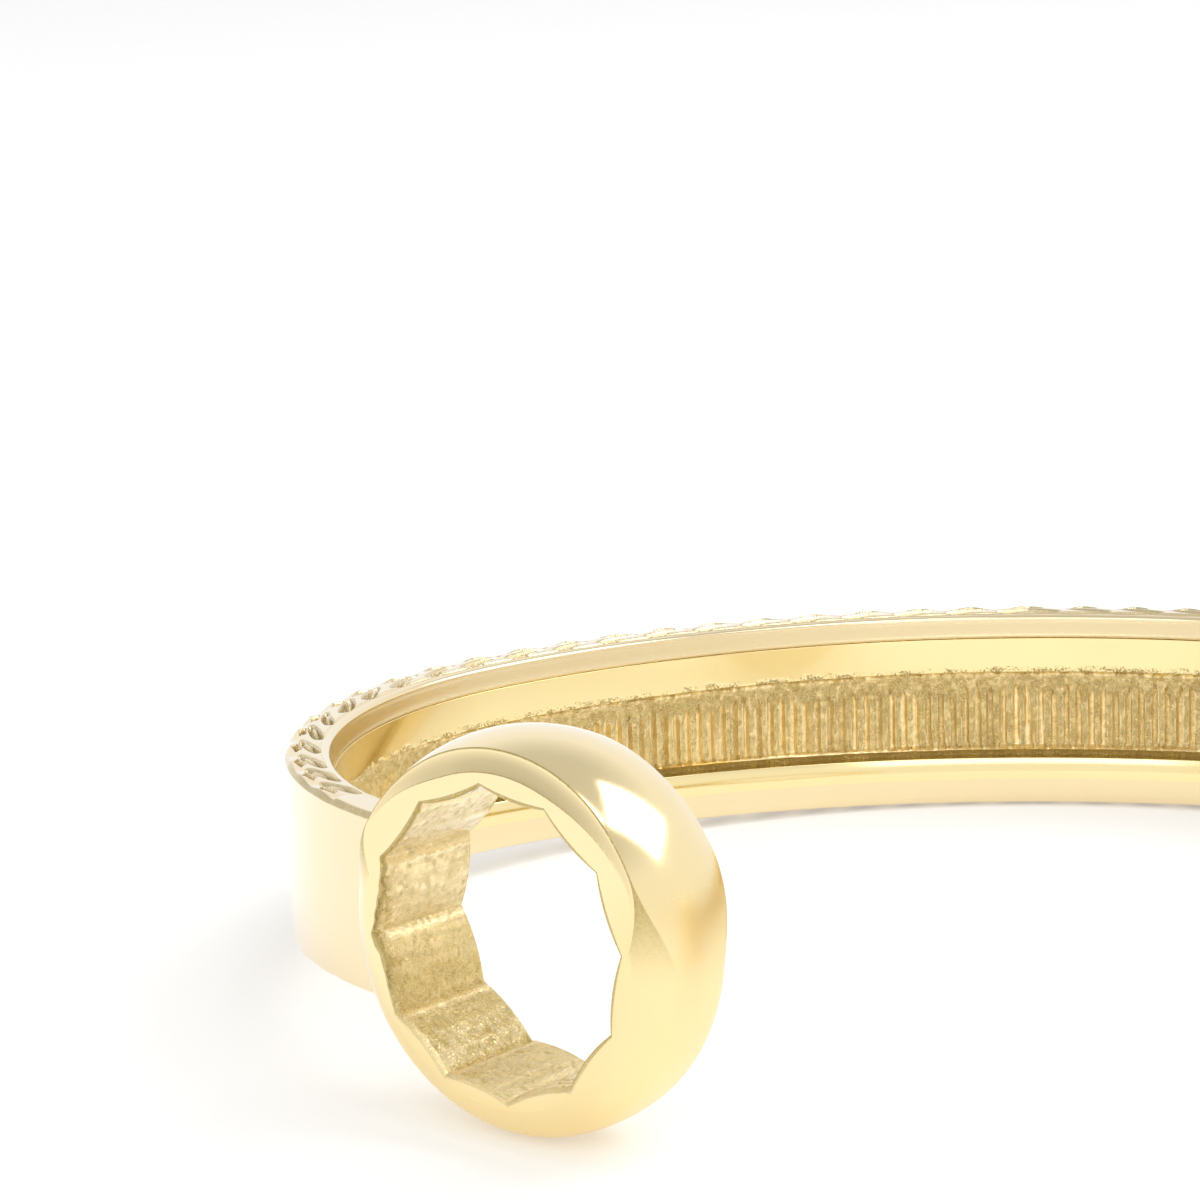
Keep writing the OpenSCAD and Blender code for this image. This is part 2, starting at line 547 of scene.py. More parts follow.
class Board:
    """Makes the nodes of one shader."""

    FIRST_COLOUR, SECOND_COLOUR, MIXED_COLOUR = 6, 7, 2

    def __init__(self, tree: bpy.types.NodeTree) -> None:
        """Clears the tree."""
        self.tree = tree
        tree.nodes.clear()

    def node(self, kind: str, settings: dict | None = None, inputs: dict | None = None) -> bpy.types.Node:
        """Adds a node.

        Args:
            kind: The node's type, without its ShaderNode prefix.
            settings: Properties of the node, set first.
            inputs: Values or wires for its sockets, by name or place.

        Returns:
            The node.
        """
        made = self.tree.nodes.new("ShaderNode" + kind)
        for key, value in (settings or {}).items():
            setattr(made, key, value)
        for key, value in (inputs or {}).items():
            if isinstance(value, Wire):
                self.tree.links.new(value.socket, made.inputs[key])
            else:
                made.inputs[key].default_value = value
        return made

    def wire(self, made: bpy.types.Node, key: str | int = 0) -> Wire:
        """One output of a node as a wire."""
        return Wire(self, made.outputs[key])

    def place(self) -> Wire:
        """Place on the object."""
        return self.wire(self.node("TexCoord"), "Object")

    def attribute(self, name: str) -> Wire:
        """A value that is stored at the vertices, or 0 where a piece has none."""
        return self.wire(self.node("Attribute", {"attribute_name": name}), "Fac")

    def math(self, operation: str, one: "Wire | float", other: "Wire | float", clamp: bool = False) -> Wire:
        """Adds a Math node on two values."""
        settings = {"operation": operation, "use_clamp": clamp}
        return self.wire(self.node("Math", settings, {0: one, 1: other}))

    def mix(self, factor: Wire, one: Colour, other: Colour) -> Wire:
        """Mixes two colours."""
        inputs = {"Factor": factor, self.FIRST_COLOUR: one, self.SECOND_COLOUR: other}
        return self.wire(self.node("Mix", {"data_type": "RGBA"}, inputs), self.MIXED_COLOUR)

    def noise(self, place: Wire, scale: float, detail: float = 3.0, roughness: float = 0.5) -> Wire:
        """Adds a noise texture and gives its value."""
        values = {"Vector": place, "Scale": scale, "Detail": detail, "Roughness": roughness}
        return self.wire(self.node("TexNoise", {}, values), "Fac")


@dataclass(frozen=True)
class GoldFinish:
    """A finish of the gold: its colour, its polish and how its sunken ground looks.

    The pieces carry two values at their vertices: sunk, which darkens the ground with painted shade and
    dulls and pits it, and satin, which softens the polish. Pit size is in millimetres, and noise scales are
    per metre.
    """

    name: str
    light: Colour
    deep: Colour
    polish: float
    matt: float
    orange_peel: float
    pitting: float
    pit_size: float
    speckle: float = 0.0
    squiggle: float = 0.0

    CLOUD_SCALE: ClassVar[float] = 260.0
    CLOUD_SHADE: ClassVar[float] = 0.12
    CLOUD_START: ClassVar[float] = 0.04
    SWELL_SCALE: ClassVar[float] = 420.0
    WEAR_SCALE: ClassVar[float] = 3200.0
    WEAR_SHARE: ClassVar[float] = 0.5
    SPECK_LEVEL: ClassVar[float] = 1.05
    CONTRAST: ClassVar[float] = 9.0
    CREASE_HEIGHT: ClassVar[float] = 0.11
    SATIN_GAIN: ClassVar[float] = 0.22
    SUNK_COAT_LOSS: ClassVar[float] = 0.8

    def material(self) -> bpy.types.Material:
        """Makes the shader: polished where the ground is raised, pitted and darkened with painted shade
        where it is sunk.
        """
        made = bpy.data.materials.new(self.name)
        made.use_nodes = True
        board = Board(made.node_tree)
        place = board.place()
        sunk, satin = board.attribute("sunk"), board.attribute("satin")
        cloud = board.noise(place, self.CLOUD_SCALE, 2.0)
        fine = board.noise(place, 1.0 / (self.pit_size * MM), 4.0, 0.6)
        swell = board.noise(place, self.SWELL_SCALE, 1.0)
        wear = board.noise(place, self.WEAR_SCALE, 3.0, 0.7)
        specks = ((fine + sunk - self.SPECK_LEVEL) * self.CONTRAST).clamped()
        creases = (1.0 - self.CONTRAST * board.math("ABSOLUTE", fine - 0.5, 0.0)).clamped()
        # the raised squiggle creases are lightened here: painted highlight on the cast gold's ridges
        ground = sunk * (0.5 + fine - self.squiggle * creases)
        ground = (1 - self.speckle) * ground + self.speckle * specks
        shade = (ground + cloud * self.CLOUD_SHADE - self.CLOUD_START).clamped()
        rough = self.polish + wear * (self.WEAR_SHARE * self.polish) + shade * (self.matt - self.polish)
        rough = rough + satin * self.SATIN_GAIN
        height = swell * self.orange_peel + (fine * shade) * self.pitting
        height = height + (creases * sunk) * (self.CREASE_HEIGHT * self.squiggle)
        bump = board.node("Bump", {}, {"Strength": 1.0, "Distance": MM, "Height": height})
        shader = board.node("BsdfPrincipled", {}, {
            # base colour: painted shade from sunk towards the deep colour, plus a random cloudy tone
            "Base Color": board.mix(shade, self.light, self.deep),
            "Roughness": rough.clamped(),
            "Normal": board.wire(bump),
            "Metallic": 1.0,
            "Coat Weight": (1.0 - satin - sunk * self.SUNK_COAT_LOSS).clamped(),
            "Coat Roughness": 0.02,
            "Coat IOR": 1.6})
        board.node("OutputMaterial", {}, {"Surface": board.wire(shader)})
        return made


FINISHES = (
    GoldFinish(
        "polished_gold", light=(0.92, 0.75, 0.45, 1), deep=(0.62, 0.50, 0.26, 1), polish=0.08, matt=0.3,
        orange_peel=0.0006, pitting=0.03, pit_size=0.12),
    GoldFinish(
        "engraved_gold", light=(0.92, 0.75, 0.45, 1), deep=(0.62, 0.50, 0.25, 1), polish=0.08, matt=0.36,
        orange_peel=0.0012, pitting=0.06, pit_size=0.09),
    GoldFinish(
        "inner_gold", light=(0.96, 0.785, 0.385, 1), deep=(0.55, 0.42, 0.15, 1), polish=0.12, matt=0.4,
        orange_peel=0.0008, pitting=-0.05, pit_size=0.09, speckle=1.0),
    GoldFinish(
        "cast_gold", light=(0.965, 0.785, 0.425, 1), deep=(0.72, 0.56, 0.18, 1), polish=0.1, matt=0.36,
        orange_peel=0.0008, pitting=0.05, pit_size=0.12, squiggle=0.6),
    GoldFinish(
        "head_gold", light=(0.965, 0.785, 0.425, 1), deep=(0.50, 0.38, 0.14, 1), polish=0.1, matt=0.3,
        orange_peel=0.0006, pitting=0.03, pit_size=0.12),
)


class Finisher:
    """Puts the finishes on the pieces and ties the pieces to the frame."""

    def __init__(self) -> None:
        """Makes each finish once."""
        self.materials = {finish.name: finish.material() for finish in FINISHES}

    def dress(self, obj: bpy.types.Object, slot: str, *nodes: str) -> None:
        """Gives a piece its finish and its place among the solids.

        Args:
            obj: The piece.
            slot: The name of its finish, which becomes its material.
            nodes: The solids that it stands for.
        """
        obj.data.materials.clear()
        obj.data.materials.append(self.materials[slot])
        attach(obj, ROOT)
        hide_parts(*nodes)
        LOG.info("%s: %d faces, %s", obj.name, len(obj.data.polygons), slot)


# ---------------------------------------------------------------- band


class Strip:
    """A piece of the band while it is shaped: its mesh, and where each point is on the wall."""

    def __init__(self, name: str, section: Section, first: float, last: float, chord: float = 0.75) -> None:
        """Spins the section along the wall and reads where its points are.

        Args:
            name: Name of the piece.
            section: Outline across the strip.
            first: Facing at which it begins, in degrees.
            last: Facing at which it ends.
            chord: Length of one step of the spin.
        """
        sweep = Sweep(section, first, last, chord)
        self.obj = sweep.build(name)
        points = Bench.points(self.obj)
        self.facing, self.inset = sweep.read(points)
        self.depth = -points[:, 2]
        self.along = CUFF.along(self.facing)

    def rise(self, inset: Array) -> Array:
        """Height of the upper rim over the level plane above each point, at its inset."""
        return CUFF.half_height(CUFF.plan(self.facing, inset)[1])

    def place(self, inset: Array, height: Array, mirror: int = 1) -> None:
        """Puts the points on the wall of the seated cuff.

        Args:
            inset: Distances in from the outer face.
            height: Heights over the level plane.
            mirror: 1 to keep the strip's side, and -1 to put it on the other.
        """
        x, y = CUFF.plan(self.facing, inset)
        Bench.place(self.obj, CUFF.seat(np.stack([x * mirror, y, height], axis=1)))


def along_band(name: str, section: Section, chord: float = 0.75) -> Strip:
    """Makes a strip that runs the whole way from neck to neck."""
    return Strip(name, section, 180 - CUFF.end_facing, CUFF.end_facing, chord)


@dataclass(frozen=True)
class Hollow:
    """One hollow of a link, in shares of the link's length and of the rim's width."""

    turn: float
    across: float
    half_turn: float
    half_across: float
    steep: float

    def cut(self, turn: Array, across: Array, half_turn: Array | None = None) -> Array:
        """Finds how far the hollow is cut, from 0 to 1, with its own or another half length."""
        half = self.half_turn if half_turn is None else half_turn
        return lens(turn - self.turn, across - self.across, half, self.half_across, self.steep)


@dataclass(frozen=True)
class Engraving:
    """Twisted-link relief of a rim: leaning leaves with hollows beside them.

    A comma-shaped hollow widens inwards round a petal that is left standing in it, and a wedge is
    cut at the outer edge between one link and the next.
    """

    pitch: float = 2.75
    outer: float = 0.24
    inner: float = 1.7
    depth: float = 0.34
    deepest: float = 1.1
    lean: float = 0.85
    bow: float = 0.10
    wander: float = 0.08
    wander_length: float = 2.3
    size_spread: float = 0.14
    widening: float = 0.15
    petal_share: float = 0.92
    outer_wave: float = 0.09
    inner_wave: float = 0.04
    border_depth: float = 0.12
    border_sunk: float = 0.7
    tooling: float = 0.03
    tooling_size: float = 0.15
    stop: float = 59.2
    fade: float = 0.35

    COMMA: ClassVar[Hollow] = Hollow(0.52, 0.60, 0.24, 0.38, 4.0)
    PETAL: ClassVar[Hollow] = Hollow(0.40, 0.55, 0.21, 0.29, 1.25)
    WEDGE: ClassVar[Hollow] = Hollow(0.95, 0.20, 0.30, 0.20, 3.4)
    SIZE_ROW: ClassVar[int] = 3

    def hollows(self, turn: Array, across: Array, size: Array) -> Array:
        """Finds how far the hollows of each link are cut.

        Args:
            turn: Places along the link, from 0 to 1.
            across: Places across the rim, from 0 at its outer edge to 1.
            size: Size of the link, about 1.

        Returns:
            Values from 0, and past 1 where two hollows meet.
        """
        wide = (self.COMMA.half_turn + self.widening * np.clip(across, 0, 1)) * size
        comma = self.COMMA.cut(turn, across, wide)
        petal = self.PETAL.cut(turn, across)
        wedge = self.WEDGE
        aside = np.abs(np.mod(turn + 1.5 - wedge.turn, 1) - 0.5) / (wedge.half_turn * size)
        inward = np.abs(across - wedge.across) / wedge.half_across
        notch = ramp((1 - aside - inward) * wedge.steep, 0, 1)
        return np.clip(comma - self.petal_share * petal, 0, 1) + notch

    def cut(self, along: Array, inset: Array, grain: Grain) -> tuple[Array, Array]:
        """Finds how far the relief lies below the rim.

        Args:
            along: Distances along the wall from the middle of the back.
            inset: Distances in from the outer face.
            grain: Unevenness of the hand work.

        Returns:
            The depth in millimetres, and how sunken each place is, from 0 to 1, which the finish shows as
            painted shade.
        """
        across = (inset - self.outer) / (self.inner - self.outer)
        run = np.abs(along)
        lean = run / self.pitch - self.lean * across + self.bow * np.sin(2 * np.pi * across)
        lean = lean + self.wander * grain.at(run / self.wander_length, across * 0.6)
        link = np.floor(lean)
        turn = lean - link
        hollow = self.hollows(turn, across, 1 + self.size_spread * grain.pick(link, self.SIZE_ROW))
        border = ramp(across, 0.95, 0.98)
        within = ramp(across, -0.04, 0.03) * ramp(1 - across, -0.02, 0.02)
        going = ramp(self.stop - run, 0, self.fade)
        size = self.tooling_size
        rough = self.tooling * grain.layered(along / size, inset / size) * np.clip(hollow + border, 0, 1)
        swing = np.sin(np.pi * turn) ** 2
        waves = swing * (self.outer_wave * (1 - ramp(across, 0.05, 0.4)) + self.inner_wave * (1 - border))
        deep = self.depth * np.clip(hollow, 0, self.deepest) + self.border_depth * border + rough
        # painted shade in the hollows and the border groove, which the finish also dulls and pits
        sunk = np.clip(hollow + self.border_sunk * border, 0, 1)
        return going * (within * deep + waves), going * within * sunk


@dataclass
class Rim:
    """One engraved rim, with the smooth border and the lip on its inner side."""

    edge: Edge
    engraving: Engraving = Engraving()
    chamfer: float = 0.24
    step: float = 0.042
    lip_inset: float = 1.9
    lip_top: tuple[float, float] = (0.38, 0.44)
    lip_satin: float = 0.5
    chamfer_shade_from: float = 49.0
    chamfer_shade_to: float = 56.0

    OUTSIDE: ClassVar[Section] = [(0.0, 1.3), (0.0, 1.0), (0.0, 0.6), (0.0, 0.3)]
    ROUNDING: ClassVar[Section] = [(0.1, 0.13), (0.2, 0.04), (0.24, 0.01)]
    UPPER_LIP: ClassVar[Section] = [
        (1.70, 0.12), (1.76, 0.128), (1.86, 0.15), (1.94, 0.18), (2.0, 0.23), (2.03, 0.29),
        (2.04, 0.34), (2.035, 0.37), (2.03, 0.40), (2.04, 0.43), (2.07, 0.6), (2.1, 0.85),
        (2.14, 1.08), (2.16, 1.16), (2.165, 1.2), (2.15, 1.25), (2.12, 1.3)]
    LOWER_LIP: ClassVar[Section] = [
        (1.70, 0.0), (1.80, 0.0), (1.95, 0.01), (2.04, 0.03), (2.12, 0.08), (2.17, 0.15),
        (2.195, 0.24), (2.2, 0.35), (2.2, 0.7), (2.2, 1.0), (2.2, 1.3)]

    def section(self) -> Section:
        """Outline across the rim, as inset and depth below its top."""
        corner = [(0.0, self.chamfer + 0.01), (0.02, self.chamfer - 0.03)]
        top = [(inset, 0.0) for inset in np.arange(0.3, 1.68, self.step)]
        lip = self.UPPER_LIP if self.edge is Edge.UPPER else self.LOWER_LIP
        return self.OUTSIDE + corner + self.ROUNDING + top + lip

    def painted_shade(self, along: Array, inset: Array, depth: Array) -> Array:
        """How far the plain parts of the rim are darkened with painted shade and dulled: its lip, the lines
        in its creases and, near the ends, its chamfer.

        Args:
            along: Distances along the wall from the middle of the back.
            inset: Distances in from the outer face.
            depth: Depths below the top of the rim.

        Returns:
            Values from 0 to 1.
        """
        if self.edge is Edge.LOWER:
            return np.zeros_like(inset)
        # painted shade: two dark lines in the lip's creases, and a light shade down the lip face
        lines = 0.25 * np.exp(-((depth - 0.4) / 0.025) ** 2) + 0.6 * np.exp(-((depth - 1.21) / 0.05) ** 2)
        lip = (0.12 * ramp(depth, *self.lip_top) + lines) * (inset > self.lip_inset)
        # painted shade on the outer chamfer, fading in towards the ends of the band
        chamfer = (inset < self.chamfer - 0.02) & (depth < self.chamfer + 0.02)
        return np.clip(lip + 0.85 * chamfer * ramp(np.abs(along), self.chamfer_shade_from, self.chamfer_shade_to), 0, 1)

    def build(self, finisher: Finisher) -> None:
        """Models and dresses the rim."""
        upper = self.edge is Edge.UPPER
        name = "top_rim" if upper else "bottom_rim"
        strip = along_band(name + "_relief", self.section())
        depth, inset = strip.depth, strip.inset
        reach = np.where(inset < self.engraving.inner, np.clip(1 - depth / 0.3, 0, 1), 0)
        cut, sunk = self.engraving.cut(strip.along, inset, Grain(11 if upper else 12))
        painted_shade = self.painted_shade(strip.along, inset, depth)
        depth = depth + reach * cut
        strip.place(inset, self.edge.value * (strip.rise(inset) - depth))
        # sunk carries painted shade: in the engraved hollows, and on the plain lip, lines and chamfer
        Bench.note(strip.obj, "sunk", np.maximum(reach * sunk, painted_shade))
        satin = self.lip_satin * ramp(depth, *self.lip_top) * (inset > self.lip_inset)
        Bench.note(strip.obj, "satin", satin)
        Bench.finish(strip.obj, 70.0)
        finisher.dress(strip.obj, "engraved_gold", name)


@dataclass
class OuterBand:
    """The plain polished outside of the band between its rims."""

    facet: float = 1.3

    def build(self, finisher: Finisher) -> None:
        """Models and dresses the outer band."""
        half = CUFF.back_height / 2 - CUFF.rim_height
        corners = [(0.0, half), (0.0, -half), (CUFF.plate, -half), (CUFF.plate, half)]
        strip = along_band("outer_band_skin", filled(corners, self.facet))
        strip.place(strip.inset, -strip.depth / half * (strip.rise(strip.inset) - CUFF.rim_height))
        Bench.note(strip.obj, "sunk", np.zeros_like(strip.depth))
        Bench.finish(strip.obj, 40.0)
        finisher.dress(strip.obj, "polished_gold", "outer_band")


@dataclass
class InnerRail:
    """One polished rail beside the ribs, ragged where it meets the cast recess."""

    edge: Edge
    facet: float = 0.09
    curve_height: float = 0.8
    curve_inset: float = 0.2
    curve_steps: int = 6
    ragged_height: float = 0.55
    pit_depth: float = 0.05

    @property
    def low(self) -> float:
        """Depth of the rail's far edge below its rim."""
        return CUFF.rim_height + (CUFF.upper_rail if self.edge is Edge.UPPER else CUFF.lower_rail)

    def section(self) -> Section:
        """Outline across the rail, as inset and depth below its rim."""
        top, low, back, front = CUFF.rim_height, self.low, CUFF.plate, CUFF.wall
        if self.edge is Edge.UPPER:
            corners = [(back, top, 0), (front, top, 0.03), (front, low, 0.1), (1.5, low + 0.02, 0),
                       (back, low, 0)]
        else:
            shares = [k / self.curve_steps for k in range(self.curve_steps)]
            curve = [(front - self.curve_inset * share ** 2, low - self.curve_height * (1 - share), 0)
                     for share in shares]
            foot = (front - self.curve_inset, low, 0.05)
            corners = [(back, top, 0), (front, top, 0), *curve, foot, (back, low, 0)]
        return filled(rounded(corners), self.facet)

    def build(self, finisher: Finisher) -> None:
        """Models and dresses the rail."""
        upper = self.edge is Edge.UPPER
        name = "upper_inner_rail" if upper else "lower_inner_rail"
        strip = along_band(name + "_polished", self.section())
        depth, inset = strip.depth, strip.inset
        if upper:
            near = ramp(depth, self.low - self.ragged_height, self.low - 0.05) * (inset > 1.3)
            ragged = 0.36 + 0.16 * near + 0.10 * Grain(21).layered(strip.along / 0.6, depth / 0.3)
            pits = ragged * ramp(near, 0.02, 0.3)
        else:
            pits = np.zeros_like(depth)
        inset = inset - self.pit_depth * ramp(pits, 0.5, 0.6)
        strip.place(inset, self.edge.value * (strip.rise(inset) - depth))
        Bench.note(strip.obj, "sunk", np.clip(pits, 0, 1))
        Bench.finish(strip.obj, 60.0)
        finisher.dress(strip.obj, "inner_gold", name)


@dataclass
class RibLiner:
    """The cast recess: uneven upright bars on a smoother floor, which merge below the rail.

    Widths of a bar are shares of the pitch, and heights are in millimetres. A spread is how far
    a size differs from bar to bar.
    """

    pitch: float = 0.66
    bar_height: float = 0.27
    crown: float = 0.1
    crown_half: float = 0.26
    ridge: float = 0.09
    ridge_half: float = 0.05
    half_bar: float = 0.24
    width_spread: float = 0.03
    waver: float = 0.02
    flank: float = 0.07
    merged: float = 0.56
    sway: float = 0.03
    shift_spread: float = 0.04
    foot: float = 0.5
    foot_spread: float = 0.05
    foot_round: float = 0.22
    arch: float = 0.95
    arch_spread: float = 0.25
    arch_round: float = 0.3
    rope: float = 0.2
    sill: float = 0.5
    groove: float = 0.06
    chord: float = 0.46

    SHIFT_ROW: ClassVar[int] = 9
    WIDTH_ROW: ClassVar[int] = 5
    ARCH_ROW: ClassVar[int] = 27
    FOOT_ROW: ClassVar[int] = 21
    SLOT_ROW: ClassVar[int] = 33

    def section(self) -> Section:
        """Outline across the liner, with its height as a share from -1 to 1."""
        shares = [*np.linspace(0, 0.13, 9), *np.linspace(0.16, 0.84, 19), *np.linspace(0.865, 1, 9)]
        inner = [(CUFF.plate + CUFF.floor, 1 - 2 * share) for share in shares]
        return [(CUFF.plate, -1.0), (CUFF.plate, 1.0)] + inner

    def bars(self, along: Array, height: Array, top: Array, grain: Grain) -> tuple[Array, ...]:
        """Lays out the bars.

        Args:
            along: Distances along the wall.
            height: Heights above the bottom of the recess.
            top: Height of the whole recess at each place.
            grain: Unevenness of the casting.

        Returns:
            The number of the nearest bar, how much of it stands at each place, how much of its
            crown, and how much of the ridge along its edge, each share from 0 to 1.
        """
        lean = along / self.pitch + self.sway * grain.at(along / 2.6, height / 3.0)
        bar = np.floor(lean)
        off = np.abs(lean - bar - 0.5 - self.shift_spread * grain.pick(bar, self.SHIFT_ROW))
        half = self.half_bar + self.width_spread * grain.pick(bar, self.WIDTH_ROW)
        half = half + self.waver * grain.at(along / 0.5, height / 0.4)
        foot = self.foot + self.foot_spread * grain.pick(bar, self.FOOT_ROW)
        arch = top - self.arch - self.arch_spread * grain.pick(bar, self.ARCH_ROW)
        half = half * np.sqrt(np.clip((height - foot) / self.foot_round, 0, 1))
        half = half + (self.merged - half) * ramp(height, arch - self.arch_round, arch)
        slot = np.where(height > arch, 0, ramp(off, half, half + self.flank))
        under_arch = ramp(arch - height, 0, self.arch_round)
        crown = np.clip(1 - (off / self.crown_half) ** 2, 0, 1) * under_arch
        ridge = np.exp(-((off - half) / self.ridge_half) ** 2) * ramp(height, 0.45, 0.6) * under_arch
        return bar, (1 - slot) * ramp(height, 0.3, 0.5), crown, ridge

    def relief(self, along: Array, height: Array, top: Array, grain: Grain) -> tuple[Array, Array]:
        """Finds how far the bars and the rough ground stand off the floor.

        Args:
            along: Distances along the wall.
            height: Heights above the bottom of the recess.
            top: Height of the whole recess at each place.
            grain: Unevenness of the casting.

        Returns:
            The rise in millimetres, and how sunken each place is, from 0 to 1: painted shade in the groove
            and the slots, and painted highlight on the bar ridges.
        """
        bar, bars, crown, ridge = self.bars(along, height, top, grain)
        cast = grain.layered(along / 0.22, height / 0.22, 3)
        rope = np.exp(-((top - height - 0.26) / 0.17) ** 2)
        rope = rope * (0.8 + 0.35 * grain.layered(along / 0.5, height / 0.25))
        sill = np.exp(-((height - 0.40) / 0.09) ** 2) * (0.85 + 0.15 * grain.at(along / 0.8, height))
        groove = 1 - ramp(height, 0.24, 0.36)
        rise = (self.bar_height + self.crown * crown + 0.05 * cast) * bars + self.ridge * ridge
        rise = rise + self.rope * rope + self.sill * sill * (1 - bars) - self.groove * groove
        # painted highlight on the bar ridges, painted shade in the groove at the foot
        sunk = bars * (0.56 + 0.25 * cast - 0.3 * rope) * (1 - 0.6 * ridge) + 0.7 * groove
        # painted shade on the slots between bars, with a random tone for each slot
        sunk = sunk + (1 - bars) * (0.30 + 0.2 * grain.pick(bar, self.SLOT_ROW) + 0.1 * cast)
        return rise, np.clip(sunk * (1 - 0.9 * sill), 0, 1)

    def build(self, finisher: Finisher) -> None:
        """Models and dresses the liner."""
        strip = along_band("rib_liner_cast", self.section(), self.chord)
        share = (1 + strip.depth) / 2
        rim = strip.rise(strip.inset)
        low = CUFF.rim_height + CUFF.lower_rail - rim
        high = rim - CUFF.rim_height - CUFF.upper_rail
        level = high + (low - high) * share
        rise, sunk = self.relief(strip.along, level - low, high - low, Grain(31))
        rise = np.clip(rise, -0.2, 0.95) * ramp(share, 0.0, 0.02) * ramp(1 - share, 0.0, 0.02)
        inner = strip.inset > CUFF.plate + CUFF.floor / 2
        strip.place(strip.inset + np.where(inner, rise, 0), level)
        Bench.note(strip.obj, "sunk", np.where(inner, sunk, 1))
        Bench.finish(strip.obj, 70.0)
        finisher.dress(strip.obj, "cast_gold", "rib_liner")


@dataclass
class Neck:
    """The plain end of the band that runs into a head."""

    side: Side
    bury: float = 7.15
    apart: float = 20.0

    def section(self) -> Section:
        """Outline across the neck, as inset and depth, the lower half set far below."""
        upper, lower = Rim(Edge.UPPER).section(), Rim(Edge.LOWER).section()
        return upper + [(2.12, 1.38), (2.2, 1.46)] + [(x, self.apart - y) for x, y in lower[::-1]]

    def build(self, finisher: Finisher) -> None:
        """Models and dresses the neck."""
        centre = CUFF.along(np.array([CUFF.head_facing]))[0]
        last = float(CUFF.facing_at(np.array([centre - self.bury]))[0])
        strip = Strip(self.side.word + "_neck_polished", self.section(), CUFF.end_facing, last)
        depth, rim = strip.depth, strip.rise(strip.inset)
        upper = depth < self.apart / 2
        # the upper half takes the rim's painted shade on its lip, crease lines and chamfer
        painted_shade = Rim(Edge.UPPER).painted_shade(strip.along, strip.inset, depth)
        strip.place(strip.inset, np.where(upper, rim - depth, self.apart - depth - rim), self.side.value)
        Bench.note(strip.obj, "sunk", np.where(upper, painted_shade, 0))
        Bench.finish(strip.obj, 40.0)
        finisher.dress(strip.obj, "polished_gold", self.side.word + "_neck")


# ---------------------------------------------------------------- heads


def near_turn(turn: Array, middle: float, core: float, edge: float) -> Array:
    """Is 1 within an angle of a turn round the head, and falls to 0 at a wider angle."""
    return 1 - ramp(np.abs(np.mod(turn, 360) - middle), core, edge)


@dataclass(frozen=True)
class HeadShape:
    """What a head's ring and its socket share: the seam, and the face with its crease and bevel.

    A turn round the head is in degrees, from its free side towards the top. Each pair of turns
    says where a change begins and where it is complete.
    """

    seam: float = 6.82
    drop: float = 0.28
    band: float = 0.86
    rise: float = 1.8
    crisp: float = 0.05
    blend: float = 1.9
    crease_from: Turns = (-8, 28)
    crease_to: Turns = (148, 172)
    polish_from: Turns = (8, 34)
    polish_to: Turns = (196, 222)
    bevel_from: Turns = (8, 70)
    bevel_to: Turns = (108, 152)

    @property
    def half(self) -> float:
        """Half of the head's depth."""
        return CUFF.head_depth / 2

    @property
    def start(self) -> float:
        """Distance of the dome arc's centre from the head's axis."""
        return CUFF.head_radius - CUFF.dome_radius

    def changes(self, turn: Array, first: Turns, last: Turns) -> tuple[Array, Array]:
        """How far two changes are complete, from the turn counted from -90 to 270 degrees."""
        turn = np.mod(turn + 90, 360) - 90
        return ramp(turn, *first), ramp(turn, *last)

    def creased(self, turn: Array) -> Array:
        """How sharp the edge between dome and face is, as a share, from the turn."""
        begun, ended = self.changes(turn, self.crease_from, self.crease_to)
        return begun * (1 - ended)

    def bevelled(self, turn: Array) -> Array:
        """How wide and deep the bevel round the face is, as a share, from the turn."""
        begun, ended = self.changes(turn, self.bevel_from, self.bevel_to)
        return begun * (1 - ended)

    def softened(self, turn: Array) -> Array:
        """How far the polish is softened, as a share, from the turn."""
        begun, ended = self.changes(turn, self.polish_from, self.polish_to)
        return 1 - begun + ended

    def corner(self, turn: Array) -> Array:
        """Radius that rounds the dome into the face."""
        return self.blend + (self.crisp - self.blend) * self.creased(turn)

    def edge_out(self, turn: Array) -> Array:
        """Distance out of the edge of the dome, which drops where the face is bevelled."""
        return self.half - self.drop * self.bevelled(turn)

    def middle(self, turn: Array) -> Array:
        """Distance from the axis at which the rounding ends and the face or its bevel begins."""
        corner = self.corner(turn)
        rise = self.edge_out(turn) - corner
        return self.start + np.sqrt((CUFF.dome_radius - corner) ** 2 - rise ** 2)

    def face(self, turn: Array, radius: Array) -> Array:
        """Distance out of the face at places within its bevel."""
        corner = self.corner(turn)
        over = np.clip(radius - self.middle(turn), 0, corner)
        return self.half - corner + np.sqrt(corner ** 2 - over ** 2)

    def at_head(self, turn: Array, radius: Array, out: Array, side: Side) -> Array:
        """Places points of a left or right head.

        Args:
            turn: Turns round the head.
            radius: Distances from the head's axis.
            out: Distances along the axis, outwards from the oval.
            side: The end of the band.

        Returns:
            Places in the cuff's frame, in metres.
        """
        facing = math.radians(CUFF.head_facing)
        axis = np.array([math.cos(facing), math.sin(facing), 0.0])
        across = np.array([-math.sin(facing), math.cos(facing), 0.0])
        up = np.array([0.0, 0.0, 1.0])
        angle = np.radians(turn)
        spoke = np.cos(angle)[:, None] * across + np.sin(angle)[:, None] * up
        points = CUFF.head_centre + radius[:, None] * spoke + out[:, None] * axis
        points[:, 0] *= side.value
        return CUFF.seat(points)


